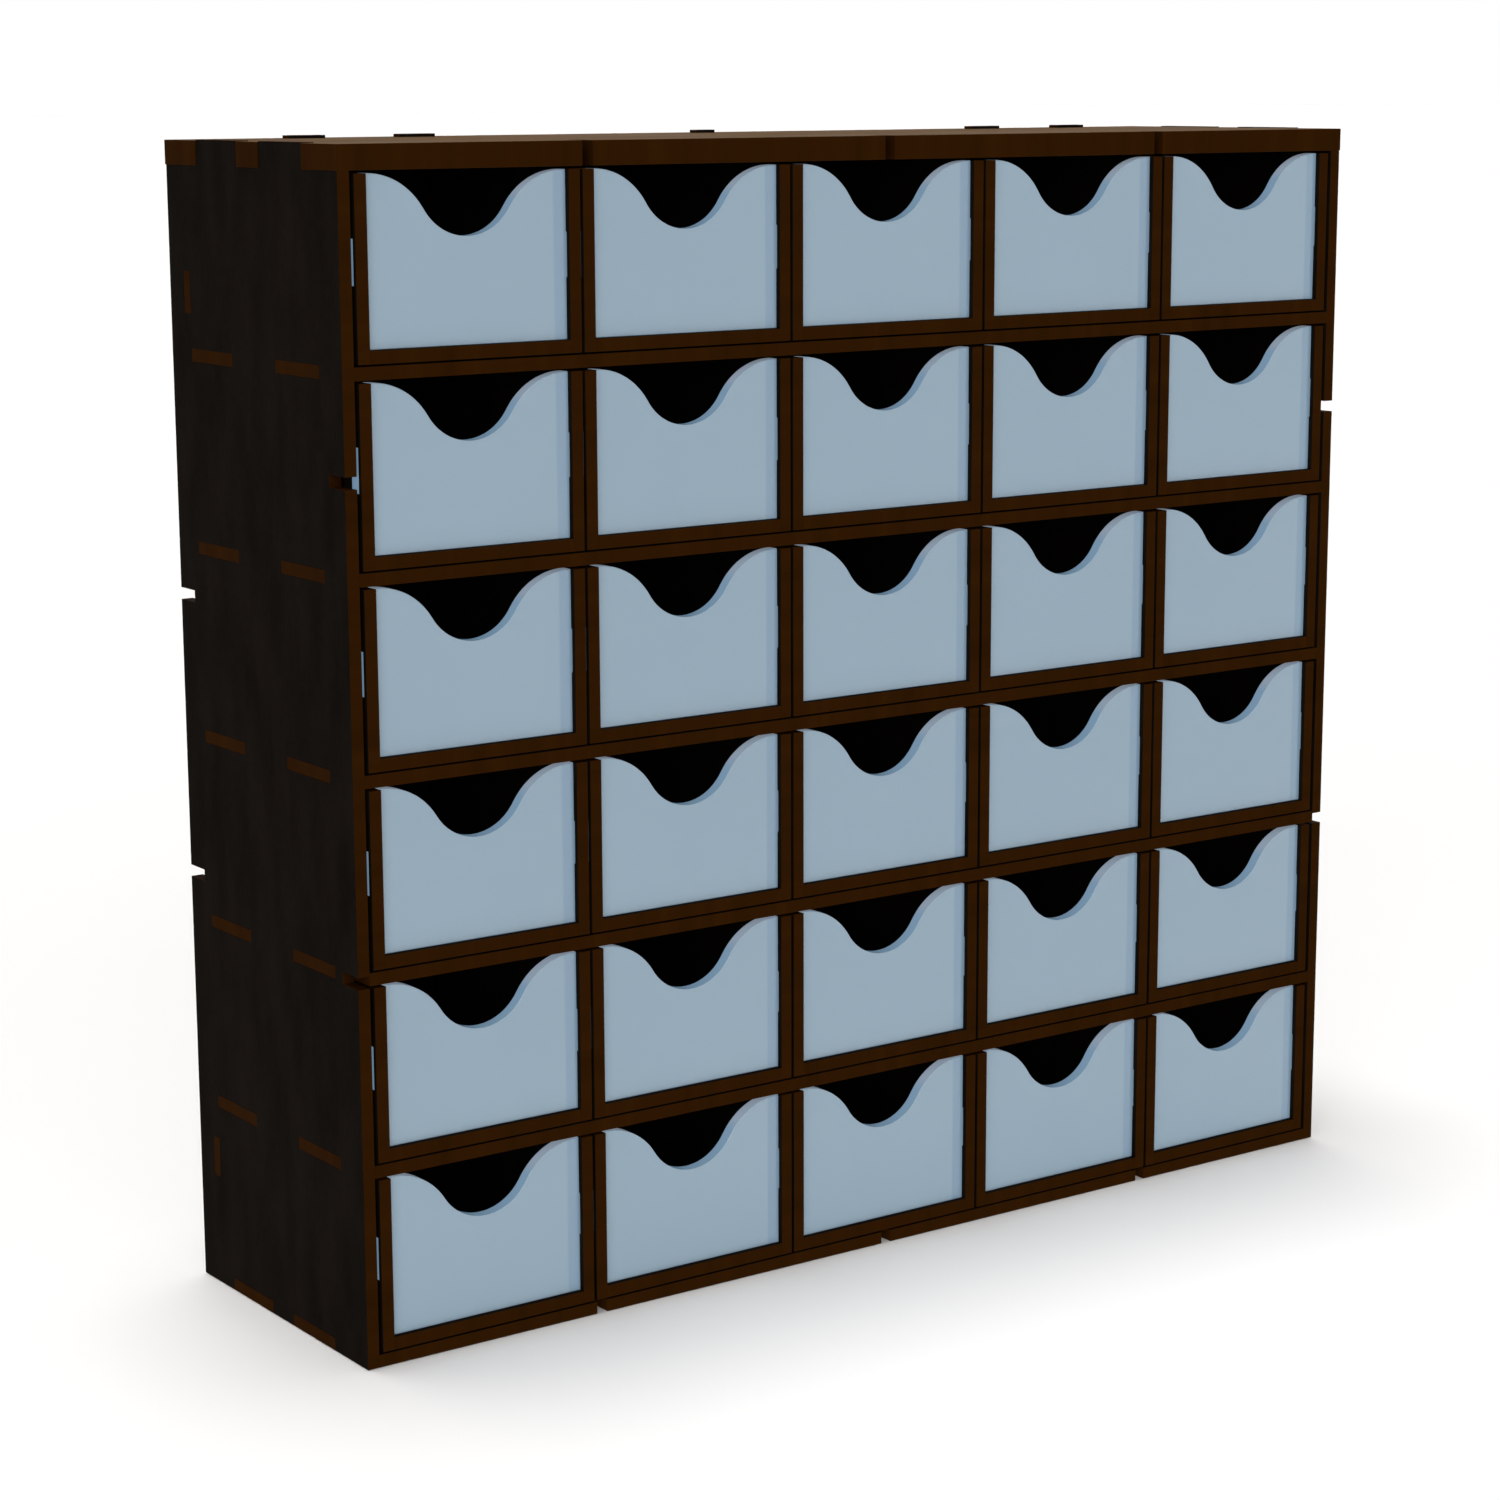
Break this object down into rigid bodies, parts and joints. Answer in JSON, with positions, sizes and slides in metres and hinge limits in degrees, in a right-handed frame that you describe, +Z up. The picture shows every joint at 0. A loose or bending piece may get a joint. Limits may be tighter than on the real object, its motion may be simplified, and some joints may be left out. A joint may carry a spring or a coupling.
{
  "type": "drawer organizer",
  "caption": "Free-standing block of small slide-out drawers in dark hardboard with pale blue acrylic fronts, each with a scooped finger pull, for craft supplies and small parts.",
  "frame": {"origin": "middle of the footprint, on the surface that the unit stands on", "axes": "+Z up, +X to the right seen from the front; the drawers face and pull out along -Y"},
  "size_m": [0.319, 0.087, 0.2948],
  "materials": {
    "hardboard": "near-black brown faces, warmer brown cut edges",
    "acrylic": "pale blue, glossy"
  },
  "bodies": {
    "carcass": {"left_side": "hardboard", "right_side": "hardboard", "top_panel": "hardboard", "bottom_panel": "hardboard", "back_panel": "hardboard", "shelf_1": "hardboard", "shelf_2": "hardboard", "shelf_3": "hardboard", "shelf_4": "hardboard", "shelf_5": "hardboard"},
    "drawer_r1_c1": {"drawer_r1_c1": "hardboard"},
    "drawer_r1_c2": {"drawer_r1_c2": "hardboard"},
    "drawer_r1_c3": {"drawer_r1_c3": "hardboard"},
    "drawer_r1_c4": {"drawer_r1_c4": "hardboard"},
    "drawer_r1_c5": {"drawer_r1_c5": "hardboard"},
    "drawer_r2_c1": {"drawer_r2_c1": "hardboard"},
    "drawer_r2_c2": {"drawer_r2_c2": "hardboard"},
    "drawer_r2_c3": {"drawer_r2_c3": "hardboard"},
    "drawer_r2_c4": {"drawer_r2_c4": "hardboard"},
    "drawer_r2_c5": {"drawer_r2_c5": "hardboard"},
    "drawer_r3_c1": {"drawer_r3_c1": "hardboard"},
    "drawer_r3_c2": {"drawer_r3_c2": "hardboard"},
    "drawer_r3_c3": {"drawer_r3_c3": "hardboard"},
    "drawer_r3_c4": {"drawer_r3_c4": "hardboard"},
    "drawer_r3_c5": {"drawer_r3_c5": "hardboard"},
    "drawer_r4_c1": {"drawer_r4_c1": "hardboard"},
    "drawer_r4_c2": {"drawer_r4_c2": "hardboard"},
    "drawer_r4_c3": {"drawer_r4_c3": "hardboard"},
    "drawer_r4_c4": {"drawer_r4_c4": "hardboard"},
    "drawer_r4_c5": {"drawer_r4_c5": "hardboard"},
    "drawer_r5_c1": {"drawer_r5_c1": "hardboard"},
    "drawer_r5_c2": {"drawer_r5_c2": "hardboard"},
    "drawer_r5_c3": {"drawer_r5_c3": "hardboard"},
    "drawer_r5_c4": {"drawer_r5_c4": "hardboard"},
    "drawer_r5_c5": {"drawer_r5_c5": "hardboard"},
    "drawer_r6_c1": {"drawer_r6_c1": "hardboard"},
    "drawer_r6_c2": {"drawer_r6_c2": "hardboard"},
    "drawer_r6_c3": {"drawer_r6_c3": "hardboard"},
    "drawer_r6_c4": {"drawer_r6_c4": "hardboard"},
    "drawer_r6_c5": {"drawer_r6_c5": "hardboard"}
  },
  "joints": [
    {"name": "drawer_r1_c1_slide", "type": "slide", "parent": "carcass", "child": "drawer_r1_c1", "axis": [0, -1, 0], "range_m": [0, 0.06]},
    {"name": "drawer_r1_c2_slide", "type": "slide", "parent": "carcass", "child": "drawer_r1_c2", "axis": [0, -1, 0], "range_m": [0, 0.06]},
    {"name": "drawer_r1_c3_slide", "type": "slide", "parent": "carcass", "child": "drawer_r1_c3", "axis": [0, -1, 0], "range_m": [0, 0.06]},
    {"name": "drawer_r1_c4_slide", "type": "slide", "parent": "carcass", "child": "drawer_r1_c4", "axis": [0, -1, 0], "range_m": [0, 0.06]},
    {"name": "drawer_r1_c5_slide", "type": "slide", "parent": "carcass", "child": "drawer_r1_c5", "axis": [0, -1, 0], "range_m": [0, 0.06]},
    {"name": "drawer_r2_c1_slide", "type": "slide", "parent": "carcass", "child": "drawer_r2_c1", "axis": [0, -1, 0], "range_m": [0, 0.06]},
    {"name": "drawer_r2_c2_slide", "type": "slide", "parent": "carcass", "child": "drawer_r2_c2", "axis": [0, -1, 0], "range_m": [0, 0.06]},
    {"name": "drawer_r2_c3_slide", "type": "slide", "parent": "carcass", "child": "drawer_r2_c3", "axis": [0, -1, 0], "range_m": [0, 0.06]},
    {"name": "drawer_r2_c4_slide", "type": "slide", "parent": "carcass", "child": "drawer_r2_c4", "axis": [0, -1, 0], "range_m": [0, 0.06]},
    {"name": "drawer_r2_c5_slide", "type": "slide", "parent": "carcass", "child": "drawer_r2_c5", "axis": [0, -1, 0], "range_m": [0, 0.06]},
    {"name": "drawer_r3_c1_slide", "type": "slide", "parent": "carcass", "child": "drawer_r3_c1", "axis": [0, -1, 0], "range_m": [0, 0.06]},
    {"name": "drawer_r3_c2_slide", "type": "slide", "parent": "carcass", "child": "drawer_r3_c2", "axis": [0, -1, 0], "range_m": [0, 0.06]},
    {"name": "drawer_r3_c3_slide", "type": "slide", "parent": "carcass", "child": "drawer_r3_c3", "axis": [0, -1, 0], "range_m": [0, 0.06]},
    {"name": "drawer_r3_c4_slide", "type": "slide", "parent": "carcass", "child": "drawer_r3_c4", "axis": [0, -1, 0], "range_m": [0, 0.06]},
    {"name": "drawer_r3_c5_slide", "type": "slide", "parent": "carcass", "child": "drawer_r3_c5", "axis": [0, -1, 0], "range_m": [0, 0.06]},
    {"name": "drawer_r4_c1_slide", "type": "slide", "parent": "carcass", "child": "drawer_r4_c1", "axis": [0, -1, 0], "range_m": [0, 0.06]},
    {"name": "drawer_r4_c2_slide", "type": "slide", "parent": "carcass", "child": "drawer_r4_c2", "axis": [0, -1, 0], "range_m": [0, 0.06]},
    {"name": "drawer_r4_c3_slide", "type": "slide", "parent": "carcass", "child": "drawer_r4_c3", "axis": [0, -1, 0], "range_m": [0, 0.06]},
    {"name": "drawer_r4_c4_slide", "type": "slide", "parent": "carcass", "child": "drawer_r4_c4", "axis": [0, -1, 0], "range_m": [0, 0.06]},
    {"name": "drawer_r4_c5_slide", "type": "slide", "parent": "carcass", "child": "drawer_r4_c5", "axis": [0, -1, 0], "range_m": [0, 0.06]},
    {"name": "drawer_r5_c1_slide", "type": "slide", "parent": "carcass", "child": "drawer_r5_c1", "axis": [0, -1, 0], "range_m": [0, 0.06]},
    {"name": "drawer_r5_c2_slide", "type": "slide", "parent": "carcass", "child": "drawer_r5_c2", "axis": [0, -1, 0], "range_m": [0, 0.06]},
    {"name": "drawer_r5_c3_slide", "type": "slide", "parent": "carcass", "child": "drawer_r5_c3", "axis": [0, -1, 0], "range_m": [0, 0.06]},
    {"name": "drawer_r5_c4_slide", "type": "slide", "parent": "carcass", "child": "drawer_r5_c4", "axis": [0, -1, 0], "range_m": [0, 0.06]},
    {"name": "drawer_r5_c5_slide", "type": "slide", "parent": "carcass", "child": "drawer_r5_c5", "axis": [0, -1, 0], "range_m": [0, 0.06]},
    {"name": "drawer_r6_c1_slide", "type": "slide", "parent": "carcass", "child": "drawer_r6_c1", "axis": [0, -1, 0], "range_m": [0, 0.06]},
    {"name": "drawer_r6_c2_slide", "type": "slide", "parent": "carcass", "child": "drawer_r6_c2", "axis": [0, -1, 0], "range_m": [0, 0.06]},
    {"name": "drawer_r6_c3_slide", "type": "slide", "parent": "carcass", "child": "drawer_r6_c3", "axis": [0, -1, 0], "range_m": [0, 0.06]},
    {"name": "drawer_r6_c4_slide", "type": "slide", "parent": "carcass", "child": "drawer_r6_c4", "axis": [0, -1, 0], "range_m": [0, 0.06]},
    {"name": "drawer_r6_c5_slide", "type": "slide", "parent": "carcass", "child": "drawer_r6_c5", "axis": [0, -1, 0], "range_m": [0, 0.06]}
  ]
}
